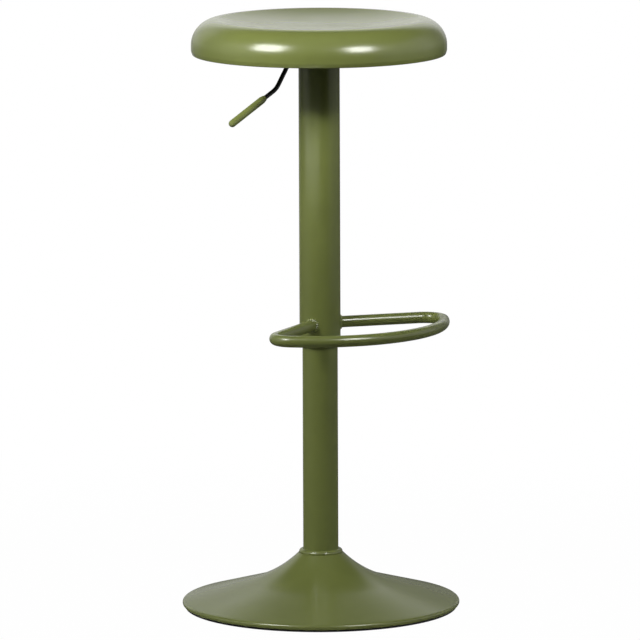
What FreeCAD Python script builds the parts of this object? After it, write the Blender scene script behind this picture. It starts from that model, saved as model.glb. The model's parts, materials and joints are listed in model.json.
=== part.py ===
"""A height-adjustable bar stool: a spun steel trumpet base, a fixed column tube, and a seat that
turns on a gas spring and carries a sliding cover sleeve, a bent-tube footrest and a release lever.

Millimetres, +Z up. The origin is on the floor, on the column's axis. The seat is in its raised place.
"""
import FreeCAD, Part
import math
import os

V = FreeCAD.Vector
UP = V(0, 0, 1)
ORIGIN = V(0, 0, 0)

# Overall heights and the seat's travel
seat_top_height = 874.0
seat_travel = 210.0
column_top_height = 500.0
footrest_height = 424.0

# Clearances
press_gap = 0.05
shaft_gap = 0.08
slide_gap = 0.3
hole_gap = 0.4
ball_gap = 0.1
cut_margin = 1.0
shortest_edge = 1e-4

# Base: floor ring, ballast, trumpet shell and collar
sheet = 1.5
base_radius = 205.0
base_roll = 4.0
base_hem = 11.0
base_slope_degrees = 15.5
neck_slope_degrees = 44.0
neck_radius = 33.0
neck_height = 81.0
neck_blend = 175.0
neck_bend = 2.0
foot_thickness = 3.0
foot_inset = 4.0
foot_rib = 3.0
foot_rib_height = 5.0
foot_ledge = 14.0
ballast_thickness = 8.0
ballast_bore = 12.0
collar_radius = 32.2
collar_height = 5.8
collar_round = 4.6

# Column: tube, flange, weld, screws and foot plug
column_radius = 26.0
column_wall = 1.5
flange_radius = 55.0
flange_thickness = 6.0
column_weld_leg = 4.0
base_screw_count = 4
base_screw_radius = 4.0
base_screw_head = 8.0
base_screw_circle = 42.0
base_screw_end = 2.0
base_screw_heading_degrees = 45.0
plug_thickness = 10.0
bush_length = 80.0
bush_lip = 2.0
bush_lip_inset = 0.8

# Thrust bearing under the gas spring
race_thickness = 2.0
race_radius = 13.0
ball_radius = 1.5
ball_circle = 9.0
ball_count = 10
cage_thickness = 1.4
cage_margin = 2.4

# Gas spring: rod, piston, cylinder, gland and valve
rod_radius = 5.0
rod_stub_radius = 4.0
rod_stub_below_plug = 2.5
clip_thickness = 1.2
clip_gap_to_plug = 0.2
clip_radius = 7.5
clip_groove_depth = 0.8
clip_slot = 5.0
bumper_radius = 13.5
bumper_height = 8.0
bumper_round = 2.0
cylinder_radius = 14.0
cylinder_wall = 1.8
cylinder_foot_above_bumper = 1.0
cylinder_lip = 1.5
cylinder_lip_depth = 6.0
gland_length = 15.0
rod_seal_length = 5.0
piston_clearance_above_seal = 10.0
piston_length = 12.0
piston_seal_width = 3.5
piston_seal_depth = 1.4
piston_gap = 0.15
piston_nut_height = 5.0
piston_nut_radius = 7.0
cylinder_roof = 2.0
valve_body_length = 22.0
valve_body_radius = 10.4
valve_neck_radius = 5.0
button_radius = 3.5
button_length = 18.0
button_proud = 6.4
button_dome = 6.0
button_spare_depth = 3.0

# Seat: spun shell, backing plate and studs
seat_radius = 187.5
seat_shoulder = 38.0
dish_depth = 14.0
dish_flat = 95.0
dish_blend = 150.0
crest_radius = 148.0
crest_bend = 12.0
rim_radius = 185.6
rim_height = 822.0
rim_turn_height = 6.0
rim_turn_bend = 8.0
rim_hem = 4.0
rim_hem_bend = 2.0
backing_radius = 75.0
backing_thickness = 2.0
stud_count = 4
stud_radius = 3.0
stud_circle = 58.0
stud_end = 3.0
stud_turn_degrees = 45.0
washer_radius = 7.0
washer_thickness = 1.2
nut_radius = 5.8
nut_height = 5.0

# Lift plate: a pressed hat that carries the socket, the sleeve and the lever
plate_sheet = 2.5
hat_radius = 45.0
hat_depth = 28.0
hat_flange = 70.0
hat_bend = 5.0
window_width = 13.0
window_wall = 4.0
window_top_below_flange = 3.0
socket_radius = 19.5
socket_above_plate = 8.0
socket_below_plate = 40.0
taper_drop = 1.4
cylinder_above_socket = 2.0

# Cover sleeve, its top ring, screws and guide ring
sleeve_below_footrest = 31.0
sleeve_radius = 30.25
sleeve_wall = 1.2
top_ring_thickness = 6.0
sleeve_screw_count = 3
sleeve_screw_radius = 2.0
sleeve_screw_head = 3.6
sleeve_screw_head_height = 3.5
guide_ring_length = 18.0
guide_ring_lip = 1.5
guide_ring_lip_proud = 0.3

# Footrest: one bent tube
footrest_tube = 8.5
footrest_wall = 1.5
footrest_reach = 178.0
footrest_bow = 192.0
footrest_corner = 28.0
footrest_spread_degrees = 132.0
footrest_heading_degrees = -48.2
weld_bead = 3.0

# Release lever: bent rod, grip, bracket and pivot pin
lever_heading_degrees = -137.0
lever_rod_radius = 3.3
lever_lift_degrees = 7.0
pivot_distance = 25.0
lever_tip = 4.0
shoulder_distance = 35.7
shoulder_bend = 12.0
drop_slope_degrees = 55.0
knee_distance = 85.2
knee_bend = 30.0
grip_slope_degrees = 26.5
grip_start = 107.0
grip_end = 178.5
grip_radius = 5.4
grip_neck_radius = 4.2
grip_neck_length = 6.0
grip_cover_beyond_rod = 6.0
boss_radius = 4.8
boss_half_width = 7.0
pin_radius = 2.5
pin_head_radius = 4.0
pin_head_length = 1.6
ear_gap = 0.5
ear_thickness = 2.5
ear_half_length = 5.4
ear_top_above_pin = 5.0


# Heights and radii that follow from the sizes above
ballast_top = foot_thickness + ballast_thickness
flange_top = ballast_top + flange_thickness
plug_top = flange_top + plug_thickness
column_bore = column_radius - column_wall
lower_race_top = plug_top + race_thickness
ball_height = lower_race_top + ball_gap + ball_radius
upper_race_foot = ball_height + ball_radius + ball_gap
rod_shoulder = upper_race_foot + race_thickness
bumper_top = rod_shoulder + bumper_height
cylinder_foot = bumper_top + cylinder_foot_above_bumper + seat_travel
cylinder_bore = cylinder_radius - cylinder_wall
gland_foot = cylinder_foot + cylinder_lip
seal_foot = gland_foot + gland_length
piston_foot = seal_foot + rod_seal_length + piston_clearance_above_seal
piston_top = piston_foot + piston_length
seal_groove_foot = piston_foot + (piston_length - piston_seal_width) / 2
dish_height = seat_top_height - dish_depth
backing_top = dish_height - sheet
backing_foot = backing_top - backing_thickness
plate_flange_foot = backing_foot - plate_sheet
plate_foot = plate_flange_foot - hat_depth
plate_top = plate_foot + plate_sheet
socket_foot = plate_top - socket_below_plate
socket_top = plate_top + socket_above_plate
cylinder_top = socket_top + cylinder_above_socket
taper_radius = cylinder_radius - taper_drop
sleeve_bore = sleeve_radius - sleeve_wall
sleeve_foot_height = footrest_height - sleeve_below_footrest
button_top = cylinder_top + button_proud
button_travel = pivot_distance * math.radians(lever_lift_degrees)
lever_height = button_top + slide_gap + lever_rod_radius


def polar(radius, degrees, z=0.0):
    """A point at a radius and heading about the column's axis."""
    turn = math.radians(degrees)
    return V(radius * math.cos(turn), radius * math.sin(turn), z)


def disc(radius, foot, top, bore=0.0):
    """An upright disc or ring between two heights."""
    body = Part.makeCylinder(radius, top - foot, V(0, 0, foot))
    if bore > 0.0:
        drill = Part.makeCylinder(bore, top - foot + 2 * cut_margin, V(0, 0, foot - cut_margin))
        body = body.cut(drill)
    return body


def bent_edges(corners):
    """Lines through corners, each (point, bend radius), with a tangent arc at every bent corner."""
    edges = []
    at = corners[0][0]
    for number in range(1, len(corners)):
        corner, bend = corners[number]
        before = (corner - corners[number - 1][0]).normalize()
        if bend > 0.0 and number < len(corners) - 1:
            after = (corners[number + 1][0] - corner).normalize()
            turn = before.getAngle(after)
            reach = bend * math.tan(turn / 2)
            inward = (after - before).normalize()
            arc_start = corner - before * reach
            arc_end = corner + after * reach
            arc_middle = corner + inward * (bend / math.cos(turn / 2) - bend)
            if (arc_start - at).Length > shortest_edge:
                edges.append(Part.LineSegment(at, arc_start).toShape())
            edges.append(Part.Arc(arc_start, arc_middle, arc_end).toShape())
            at = arc_end
        else:
            if (corner - at).Length > shortest_edge:
                edges.append(Part.LineSegment(at, corner).toShape())
            at = corner
    return edges


def shifted(corners, gap):
    """The same bent outline, moved sideways to its right by a gap, as the far face of a sheet."""
    moved = []
    last = len(corners) - 1
    for number, (corner, bend) in enumerate(corners):
        before = (corners[max(number, 1)][0] - corners[max(number, 1) - 1][0]).normalize()
        after = (corners[min(number, last - 1) + 1][0] - corners[min(number, last - 1)][0]).normalize()
        right_before = V(before.z, 0, -before.x)
        right_after = V(after.z, 0, -after.x)
        side = right_before + right_after
        place = corner + side * (gap / (1.0 + right_before.dot(right_after)))
        turns_left = before.x * after.z - before.z * after.x > 0.0
        if bend > 0.0:
            bend = bend + gap if turns_left else bend - gap
        moved.append((place, bend))
    return moved


def at_radius(radius, height, bend=0.0):
    """A corner of a turned outline: a radius, a height and a bend radius."""
    return (V(radius, 0, height), bend)


def turned(corners):
    """A solid of revolution about the column's axis, from a closed outline of corners."""
    edges = bent_edges(corners + [corners[0]])
    return Part.Face(Part.Wire(edges)).revolve(ORIGIN, UP, 360)


def turned_sheet(corners, wall):
    """A spun sheet: an open outline and its copy one wall to the right, closed at both ends."""
    far = shifted(corners, wall)
    near_edges = bent_edges(corners)
    far_edges = bent_edges(far)
    first = Part.LineSegment(corners[0][0], far[0][0]).toShape()
    last = Part.LineSegment(corners[-1][0], far[-1][0]).toShape()
    wire = Part.Wire(Part.__sortEdges__(near_edges + far_edges + [first, last]))
    return Part.Face(wire).revolve(ORIGIN, UP, 360)


def ring_of(count, circle, first_heading, make):
    """Equal pieces on a circle: make(centre) at even headings."""
    pieces = []
    for number in range(count):
        pieces.append(make(polar(circle, first_heading + 360.0 * number / count)))
    return pieces


def hexagon(corner_radius, height, centre, bore):
    """An upright hexagonal nut with its foot at a point."""
    corners = ring_of(6, corner_radius, 0.0, lambda at: centre + at)
    body = Part.Face(Part.makePolygon(corners + [corners[0]])).extrude(V(0, 0, height))
    drill = Part.makeCylinder(bore, height + 2 * cut_margin, centre - UP * cut_margin)
    return body.cut(drill)


def meet(start, start_slope, end, end_slope):
    """Where a line falling outward from start crosses one through end, slopes in degrees."""
    fall = math.tan(math.radians(start_slope))
    far_fall = math.tan(math.radians(end_slope))
    radius = (start.z - end.z + fall * start.x - far_fall * end.x) / (fall - far_fall)
    return V(radius, 0, start.z - fall * (radius - start.x))


# Base

def base_shell():
    """The spun trumpet: a flat neck, a long hollow curve, a cone and a rolled edge with a hem."""
    half_open = math.radians(90.0 - base_slope_degrees) / 2
    edge_height = foot_thickness + base_roll + base_roll * math.tan(half_open)
    edge = V(base_radius, 0, edge_height)
    waist = meet(V(neck_radius, 0, neck_height), neck_slope_degrees, edge, base_slope_degrees)
    return turned_sheet([
        at_radius(column_radius + hole_gap, neck_height),
        at_radius(neck_radius, neck_height, neck_bend),
        (waist, neck_blend),
        (edge, base_roll),
        at_radius(base_radius, foot_thickness, base_roll),
        at_radius(base_radius - base_hem - base_roll, foot_thickness),
    ], sheet)


def floor_ring():
    """The rubber ring: a flat strip under the hem and the ballast, with a rib between the two."""
    outer = base_radius - foot_inset
    rib_outer = base_radius - base_hem - base_roll - hole_gap
    rib_inner = rib_outer - foot_rib
    inner = rib_inner - foot_ledge
    return turned([
        at_radius(inner, 0),
        at_radius(outer, 0),
        at_radius(outer, foot_thickness),
        at_radius(rib_outer, foot_thickness),
        at_radius(rib_outer, foot_thickness + foot_rib_height),
        at_radius(rib_inner, foot_thickness + foot_rib_height),
        at_radius(rib_inner, foot_thickness),
        at_radius(inner, foot_thickness),
    ])


def base_screw(centre, grow=0.0):
    """A countersunk screw from under the ballast up through the flange."""
    head_depth = base_screw_head - base_screw_radius
    head = Part.makeCone(base_screw_head + grow, base_screw_radius + grow, head_depth,
                         centre + V(0, 0, foot_thickness))
    shank = Part.makeCylinder(base_screw_radius + grow, flange_top + base_screw_end - foot_thickness,
                              centre + V(0, 0, foot_thickness))
    return head.fuse(shank)


def base_screw_ring(grow=0.0):
    """All the base screws, or the holes for them."""
    return ring_of(base_screw_count, base_screw_circle, base_screw_heading_degrees,
                   lambda at: base_screw(at, grow))


def ballast_plate():
    """The heavy disc that steadies the stool, countersunk for the base screws."""
    rib_inner = base_radius - base_hem - base_roll - hole_gap - foot_rib
    plate = disc(rib_inner - hole_gap, foot_thickness, ballast_top, ballast_bore)
    return plate.cut(Part.makeCompound(base_screw_ring(press_gap)))


def column_flange():
    """The round foot of the column, drilled for the base screws."""
    plate = disc(flange_radius, ballast_top, flange_top, ballast_bore)
    return plate.cut(Part.makeCompound(base_screw_ring(press_gap)))


def column_weld():
    """The fillet weld between the column tube and its flange."""
    return turned([
        at_radius(column_radius, flange_top),
        at_radius(column_radius + column_weld_leg, flange_top),
        at_radius(column_radius, flange_top + column_weld_leg),
    ])


def base_collar():
    """The rounded ring on the column where the trumpet's neck ends."""
    bore = column_radius + press_gap
    return turned([
        at_radius(bore, neck_height),
        at_radius(collar_radius, neck_height),
        at_radius(collar_radius, neck_height + collar_height, collar_round),
        at_radius(bore, neck_height + collar_height),
    ])


def column_tube():
    """The fixed lower column."""
    return disc(column_radius, flange_top, column_top_height, column_bore)


def column_plug():
    """The thick disc in the column's foot that the gas spring stands on."""
    return disc(column_bore - press_gap, flange_top, plug_top, rod_stub_radius + shaft_gap)


def guide_bush():
    """The plastic bush at the column's top that steadies the gas cylinder."""
    bore = cylinder_radius + shaft_gap
    lip_top = column_top_height + bush_lip
    return turned([
        at_radius(bore, column_top_height - bush_length),
        at_radius(column_bore - press_gap, column_top_height - bush_length),
        at_radius(column_bore - press_gap, column_top_height),
        at_radius(column_radius - bush_lip_inset, column_top_height),
        at_radius(column_radius - bush_lip_inset, lip_top, bush_lip / 2),
        at_radius(bore, lip_top),
    ])


# Thrust bearing

def bearing_race_lower():
    """The race on the plug, clear of the turning stub."""
    return disc(race_radius, plug_top, lower_race_top, rod_stub_radius + slide_gap)


def bearing_race_upper():
    """The race under the rod's shoulder, tight on the stub."""
    return disc(race_radius, upper_race_foot, rod_shoulder, rod_stub_radius + shaft_gap)


def bearing_balls():
    """The balls between the races."""
    height = V(0, 0, ball_height)
    return ring_of(ball_count, ball_circle, 0.0, lambda at: Part.makeSphere(ball_radius, at + height))


def bearing_cage():
    """The thin ring that spaces the balls."""
    foot = ball_height - cage_thickness / 2
    cage = disc(ball_circle + cage_margin, foot, foot + cage_thickness, ball_circle - cage_margin)
    pockets = ring_of(ball_count, ball_circle, 0.0,
                      lambda at: Part.makeCylinder(ball_radius + ball_gap, 4 * ball_radius,
                                                   at + V(0, 0, foot - ball_radius)))
    return cage.cut(Part.makeCompound(pockets))


# Gas spring, the turning rod

def clip_heights():
    """Foot and top of the clip that hangs under the plug."""
    top = flange_top - clip_gap_to_plug
    return top - clip_thickness, top


def piston_rod():
    """The polished rod: a stub through the bearing and plug, the long rod and a threaded end."""
    clip_foot, clip_top = clip_heights()
    stub_foot = flange_top - clip_gap_to_plug - clip_thickness - rod_stub_below_plug
    stub = disc(rod_stub_radius, stub_foot, rod_shoulder)
    groove = disc(rod_stub_radius + cut_margin, clip_foot - press_gap, clip_top + press_gap,
                  rod_stub_radius - clip_groove_depth)
    long_rod = disc(rod_radius, rod_shoulder, piston_foot)
    thread = disc(rod_stub_radius, piston_foot, piston_top + piston_nut_height + rod_stub_below_plug)
    return stub.cut(groove).fuse([long_rod, thread])


def rod_clip():
    """The open spring clip in the rod's groove."""
    foot, top = clip_heights()
    ring = disc(clip_radius, foot, top, rod_stub_radius - clip_groove_depth + press_gap)
    slot = Part.makeBox(clip_radius + cut_margin, clip_slot, clip_thickness + 2 * cut_margin,
                        V(0, -clip_slot / 2, foot - cut_margin))
    return ring.cut(slot)


def bump_stop():
    """The rubber ring that the cylinder meets when the seat is right down."""
    return turned([
        at_radius(rod_radius + press_gap, rod_shoulder),
        at_radius(race_radius, rod_shoulder),
        at_radius(bumper_radius, bumper_top, bumper_round),
        at_radius(rod_radius + press_gap, bumper_top),
    ])


def piston():
    """The piston, with a groove for its seal."""
    outer = cylinder_bore - piston_gap
    body = disc(outer, piston_foot, piston_top, rod_stub_radius + press_gap)
    return body.cut(disc(outer + cut_margin, seal_groove_foot, seal_groove_foot + piston_seal_width,
                         outer - piston_seal_depth))


def piston_seal():
    """The rubber ring in the piston's groove."""
    groove_radius = cylinder_bore - piston_gap - piston_seal_depth
    return disc(cylinder_bore - shaft_gap, seal_groove_foot + press_gap,
                seal_groove_foot + piston_seal_width - press_gap, groove_radius + press_gap)


def piston_nut():
    """The nut that holds the piston on the rod."""
    return hexagon(piston_nut_radius, piston_nut_height, V(0, 0, piston_top),
                   rod_stub_radius + press_gap)


# Gas spring, the sliding cylinder

def gas_cylinder():
    """The pressure tube: a rolled-in foot, a plain barrel, a taper and a roof with a valve hole."""
    return turned([
        at_radius(cylinder_bore - cylinder_lip_depth, cylinder_foot),
        at_radius(cylinder_radius, cylinder_foot, cylinder_lip),
        at_radius(cylinder_radius, socket_foot),
        at_radius(taper_radius, socket_top),
        at_radius(taper_radius, cylinder_top),
        at_radius(valve_neck_radius + press_gap, cylinder_top),
        at_radius(valve_neck_radius + press_gap, cylinder_top - cylinder_roof),
        at_radius(valve_body_radius + press_gap, cylinder_top - cylinder_roof),
        at_radius(valve_body_radius + press_gap, socket_foot - cylinder_wall),
        at_radius(cylinder_bore, socket_foot - 2 * cylinder_wall),
        at_radius(cylinder_bore, gland_foot),
        at_radius(cylinder_bore - cylinder_lip_depth, gland_foot),
    ])


def cylinder_gland():
    """The guide in the cylinder's foot that the rod slides through."""
    return disc(cylinder_bore - press_gap, gland_foot, seal_foot, rod_radius + shaft_gap)


def rod_seal():
    """The rubber seal above the gland."""
    return disc(cylinder_bore - press_gap, seal_foot, seal_foot + rod_seal_length,
                rod_radius + shaft_gap)


def valve_body():
    """The plug in the cylinder's top, bored from above for the button."""
    top = cylinder_top - cylinder_roof
    body = disc(valve_body_radius, top - valve_body_length, top)
    neck = disc(valve_neck_radius, top, cylinder_top)
    button_foot = button_top - button_length
    bore = disc(button_radius + shaft_gap, button_foot - button_travel - button_spare_depth,
                cylinder_top + cut_margin)
    return body.fuse(neck).cut(bore)


def valve_button():
    """The domed pin that the lever presses."""
    pin = disc(button_radius, button_top - button_length, button_top)
    dome = Part.makeSphere(button_dome, V(0, 0, button_top - button_dome))
    below = disc(button_radius, button_top - button_length, button_top - button_dome)
    return pin.common(dome).fuse(below)


# Seat

def seat_shell():
    """The spun seat: a flat-bottomed dish, a crest, a deep round shoulder and a hem turned under."""
    return turned_sheet([
        at_radius(0, dish_height),
        at_radius(dish_flat, dish_height, dish_blend),
        at_radius(crest_radius, seat_top_height, crest_bend),
        at_radius(seat_radius, seat_top_height, seat_shoulder),
        at_radius(seat_radius, rim_height + rim_turn_height, rim_turn_bend),
        at_radius(rim_radius, rim_height, rim_hem_bend),
        at_radius(rim_radius - rim_hem, rim_height),
    ], sheet)


def seat_backing_plate():
    """The disc welded under the dish, drilled for the studs."""
    plate = disc(backing_radius, backing_foot, backing_top)
    return plate.cut(Part.makeCompound(seat_stud_ring(press_gap)))


def seat_stud_ring(grow=0.0):
    """The studs that hang from the backing plate, or the holes for them."""
    foot = plate_flange_foot - washer_thickness - nut_height - stud_end
    return ring_of(stud_count, stud_circle, lever_heading_degrees + stud_turn_degrees,
                   lambda at: Part.makeCylinder(stud_radius + grow, backing_top - foot,
                                                at + V(0, 0, foot)))


def washer(centre):
    """A flat washer with its foot at a point."""
    plate = Part.makeCylinder(washer_radius, washer_thickness, centre)
    drill = Part.makeCylinder(stud_radius + shaft_gap, washer_thickness + 2 * cut_margin,
                              centre - UP * cut_margin)
    return plate.cut(drill)


def seat_washers():
    """A washer under the flange at each stud."""
    foot = V(0, 0, plate_flange_foot - washer_thickness)
    return ring_of(stud_count, stud_circle, lever_heading_degrees + stud_turn_degrees,
                   lambda at: washer(at + foot))


def seat_nuts():
    """A nut under each washer."""
    foot = V(0, 0, plate_flange_foot - washer_thickness - nut_height)
    return ring_of(stud_count, stud_circle, lever_heading_degrees + stud_turn_degrees,
                   lambda at: hexagon(nut_radius, nut_height, at + foot, stud_radius + press_gap))


# Lift plate

def along_lever(shape):
    """Turn a piece that is drawn along +X to the lever's heading."""
    turned_shape = shape.copy()
    turned_shape.rotate(ORIGIN, UP, lever_heading_degrees)
    return turned_shape


def lift_plate():
    """The pressed hat: bolted to the seat at its flange, open in one side for the lever."""
    hat = turned_sheet([
        at_radius(hat_flange, plate_flange_foot),
        at_radius(hat_radius, plate_flange_foot, hat_bend),
        at_radius(hat_radius, plate_foot, hat_bend),
        at_radius(socket_radius + press_gap, plate_foot),
    ], plate_sheet)
    window_foot = plate_foot - cut_margin
    window_top = plate_flange_foot - window_top_below_flange
    window = Part.makeBox(2 * window_wall + plate_sheet, window_width, window_top - window_foot,
                          V(hat_radius - window_wall - plate_sheet, -window_width / 2, window_foot))
    holes = ring_of(stud_count, stud_circle, lever_heading_degrees + stud_turn_degrees,
                    lambda at: Part.makeCylinder(stud_radius + press_gap, hat_depth,
                                                 at + V(0, 0, plate_foot + hat_depth / 2)))
    return hat.cut(Part.makeCompound(holes + [along_lever(window)] + sleeve_screw_ring(press_gap)))


def taper_socket():
    """The hub that takes the cylinder's taper."""
    hub = disc(socket_radius, socket_foot, socket_top)
    bore = Part.makeCone(cylinder_radius + press_gap, taper_radius + press_gap,
                         socket_top - socket_foot, V(0, 0, socket_foot))
    return hub.cut(bore)


# Cover sleeve

def cover_sleeve():
    """The wide upper tube that slides over the column."""
    return disc(sleeve_radius, sleeve_foot_height, plate_foot, sleeve_bore)


def sleeve_screw_circle():
    """The screws stand midway between the socket and the sleeve's bore."""
    return (socket_radius + sleeve_bore) / 2


def sleeve_screw(centre, grow=0.0):
    """A cheese-head screw from inside the hat down into the sleeve's top ring."""
    foot = plate_foot - top_ring_thickness
    shank = Part.makeCylinder(sleeve_screw_radius + grow, plate_top - foot, centre + V(0, 0, foot))
    head = Part.makeCylinder(sleeve_screw_head, sleeve_screw_head_height, centre + V(0, 0, plate_top))
    return shank.fuse(head)


def sleeve_screw_ring(grow=0.0):
    """The sleeve's screws, the first one opposite the lever, or the holes for them."""
    return ring_of(sleeve_screw_count, sleeve_screw_circle(), lever_heading_degrees + 180.0,
                   lambda at: sleeve_screw(at, grow))


def sleeve_top_ring():
    """The ring welded in the sleeve's top, tapped for the screws."""
    ring = disc(sleeve_bore - press_gap, plate_foot - top_ring_thickness, plate_foot,
                socket_radius + hole_gap)
    return ring.cut(Part.makeCompound(sleeve_screw_ring(press_gap)))


def sleeve_guide_ring():
    """The plastic ring in the sleeve's foot that runs on the column."""
    bore = column_radius + slide_gap
    lip_foot = sleeve_foot_height - guide_ring_lip
    return turned([
        at_radius(bore, lip_foot),
        at_radius(sleeve_radius + guide_ring_lip_proud, lip_foot),
        at_radius(sleeve_radius + guide_ring_lip_proud, sleeve_foot_height),
        at_radius(sleeve_bore - press_gap, sleeve_foot_height),
        at_radius(sleeve_bore - press_gap, lip_foot + guide_ring_length),
        at_radius(bore, lip_foot + guide_ring_length),
    ])


# Footrest

def cope_distance(radius):
    """How far from the column's axis a round bar of this radius first clears the sleeve's side."""
    return math.sqrt(sleeve_radius ** 2 - radius ** 2)


def mirrored(point):
    """The point on the other side of the footrest's middle line."""
    return V(point.x, -point.y, 0)


def footrest_path():
    """The tube's centre line: an arm, a corner, the bowed front, a corner and an arm."""
    half = math.radians(footrest_spread_degrees / 2)
    arm = V(math.cos(half), math.sin(half), 0)
    side = V(math.sin(half), -math.cos(half), 0)
    bow_centre = V(footrest_reach - footrest_bow, 0, 0)
    offset = side * footrest_corner - bow_centre
    along = offset.dot(arm)
    inner_radius = footrest_bow - footrest_corner
    arm_length = math.sqrt(along ** 2 - offset.dot(offset) + inner_radius ** 2) - along
    corner_centre = arm * arm_length + side * footrest_corner
    outward = (corner_centre - bow_centre).normalize()
    arm_end = arm * arm_length
    corner_end = corner_centre + outward * footrest_corner
    corner_middle = corner_centre + (outward - side).normalize() * footrest_corner
    front_middle = V(footrest_reach, 0, 0)
    arm_start = arm * (cope_distance(footrest_tube) - press_gap)
    edges = [
        Part.LineSegment(arm_start, arm_end).toShape(),
        Part.Arc(arm_end, corner_middle, corner_end).toShape(),
        Part.Arc(corner_end, front_middle, mirrored(corner_end)).toShape(),
        Part.Arc(mirrored(corner_end), mirrored(corner_middle), mirrored(arm_end)).toShape(),
        Part.LineSegment(mirrored(arm_end), mirrored(arm_start)).toShape(),
    ]
    path = Part.Wire(edges)
    path.rotate(ORIGIN, UP, footrest_heading_degrees)
    path.translate(V(0, 0, footrest_height))
    return path


def swept_tube(path, heading, radius):
    """A round bar along a path that leaves its first point at a heading."""
    start = path.Edges[0].valueAt(path.Edges[0].FirstParameter)
    section = Part.Wire(Part.makeCircle(radius, start, polar(1.0, heading)))
    return path.makePipeShell([section], True, True)


def footrest_ring():
    """The bent tube, coped to the sleeve at both arms."""
    heading = footrest_heading_degrees + footrest_spread_degrees / 2
    outer = swept_tube(footrest_path(), heading, footrest_tube)
    inner = swept_tube(footrest_path(), heading, footrest_tube - footrest_wall)
    post = disc(sleeve_radius, footrest_height - 4 * footrest_tube, footrest_height + 4 * footrest_tube)
    return outer.cut(inner).cut(post)


def footrest_welds():
    """The bead round each arm where it meets the sleeve."""
    beads = []
    for side in (-1, 1):
        heading = footrest_heading_degrees + side * footrest_spread_degrees / 2
        cope = cope_distance(footrest_tube + weld_bead)
        start = polar(cope, heading, footrest_height)
        length = sleeve_radius - cope + weld_bead
        cone = Part.makeCone(footrest_tube + weld_bead, footrest_tube, length, start,
                             polar(1.0, heading))
        arm = Part.makeCylinder(footrest_tube, length + cut_margin, start, polar(1.0, heading))
        beads.append(cone.cut(arm).cut(disc(sleeve_radius, 0, seat_top_height)))
    return beads


# Release lever, drawn along +X in the plane y = 0 and turned to its heading

def knee_height():
    """The height of the rod's lower bend."""
    return lever_height - (knee_distance - shoulder_distance) * math.tan(math.radians(drop_slope_degrees))


def on_grip(distance):
    """A point on the grip's line at a distance out from the column's axis."""
    fall = (distance - knee_distance) * math.tan(math.radians(grip_slope_degrees))
    return V(distance, 0, knee_height() - fall)


def grip_direction():
    """The way that the grip points, outward and down."""
    slope = math.radians(grip_slope_degrees)
    return V(math.cos(slope), 0, -math.sin(slope))


def rod_end():
    """The end of the rod inside the grip."""
    return on_grip(grip_end) - grip_direction() * (grip_radius + grip_cover_beyond_rod)


def lever_rod():
    """The black rod: level over the button, then steeply down, then out at the grip's slope."""
    corners = [
        (V(-lever_tip, 0, lever_height), 0.0),
        (V(shoulder_distance, 0, lever_height), shoulder_bend),
        (V(knee_distance, 0, knee_height()), knee_bend),
        (rod_end(), 0.0),
    ]
    path = Part.Wire(bent_edges(corners))
    section = Part.Wire(Part.makeCircle(lever_rod_radius, corners[0][0], V(1, 0, 0)))
    rod = path.makePipeShell([section], True, True)
    boss = Part.makeCylinder(boss_radius, 2 * boss_half_width,
                             V(pivot_distance, -boss_half_width, lever_height), V(0, 1, 0))
    bore = Part.makeCylinder(pin_radius + shaft_gap, 4 * boss_half_width,
                             V(pivot_distance, -2 * boss_half_width, lever_height), V(0, 1, 0))
    return along_lever(rod.fuse(boss).cut(bore))


def lever_grip():
    """The grip: a tapered neck, a plain barrel and a round end, bored for the rod."""
    start = on_grip(grip_start)
    way = grip_direction()
    length = (on_grip(grip_end) - start).Length
    barrel_length = length - grip_neck_length - grip_radius
    neck = Part.makeCone(grip_neck_radius, grip_radius, grip_neck_length, start, way)
    barrel = Part.makeCylinder(grip_radius, barrel_length, start + way * grip_neck_length, way)
    tip = Part.makeSphere(grip_radius, start + way * (length - grip_radius))
    bore_length = (rod_end() - start).Length + press_gap
    bore = Part.makeCylinder(lever_rod_radius + press_gap, bore_length + cut_margin,
                             start - way * cut_margin, way)
    return along_lever(neck.fuse([barrel, tip]).cut(bore))


def lever_bracket():
    """A small channel on the lift plate, with an ear each side of the lever's boss."""
    outer = boss_half_width + ear_gap + ear_thickness
    inner = boss_half_width + ear_gap
    foot = plate_top
    height = lever_height + ear_top_above_pin - foot
    start = pivot_distance - ear_half_length + press_gap
    block = Part.makeBox(2 * ear_half_length, 2 * outer, height, V(start, -outer, foot))
    gap = Part.makeBox(4 * ear_half_length, 2 * inner, height,
                       V(start - ear_half_length, -inner, foot + ear_thickness))
    hole = Part.makeCylinder(pin_radius + press_gap, 4 * outer,
                             V(pivot_distance, -2 * outer, lever_height), V(0, 1, 0))
    hub = disc(socket_radius + slide_gap, socket_foot, socket_top + cut_margin)
    return along_lever(block.cut(gap).cut(hole).cut(hub))


def lever_pin():
    """The headed pin through the ears and the lever's boss."""
    outer = boss_half_width + ear_gap + ear_thickness
    shank = Part.makeCylinder(pin_radius, 2 * (outer + pin_head_length),
                              V(pivot_distance, -outer - pin_head_length, lever_height), V(0, 1, 0))
    head = Part.makeCylinder(pin_head_radius, pin_head_length,
                             V(pivot_distance, -outer - pin_head_length, lever_height), V(0, 1, 0))
    return along_lever(shank.fuse(head))


# Every sub-part and its file

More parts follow.
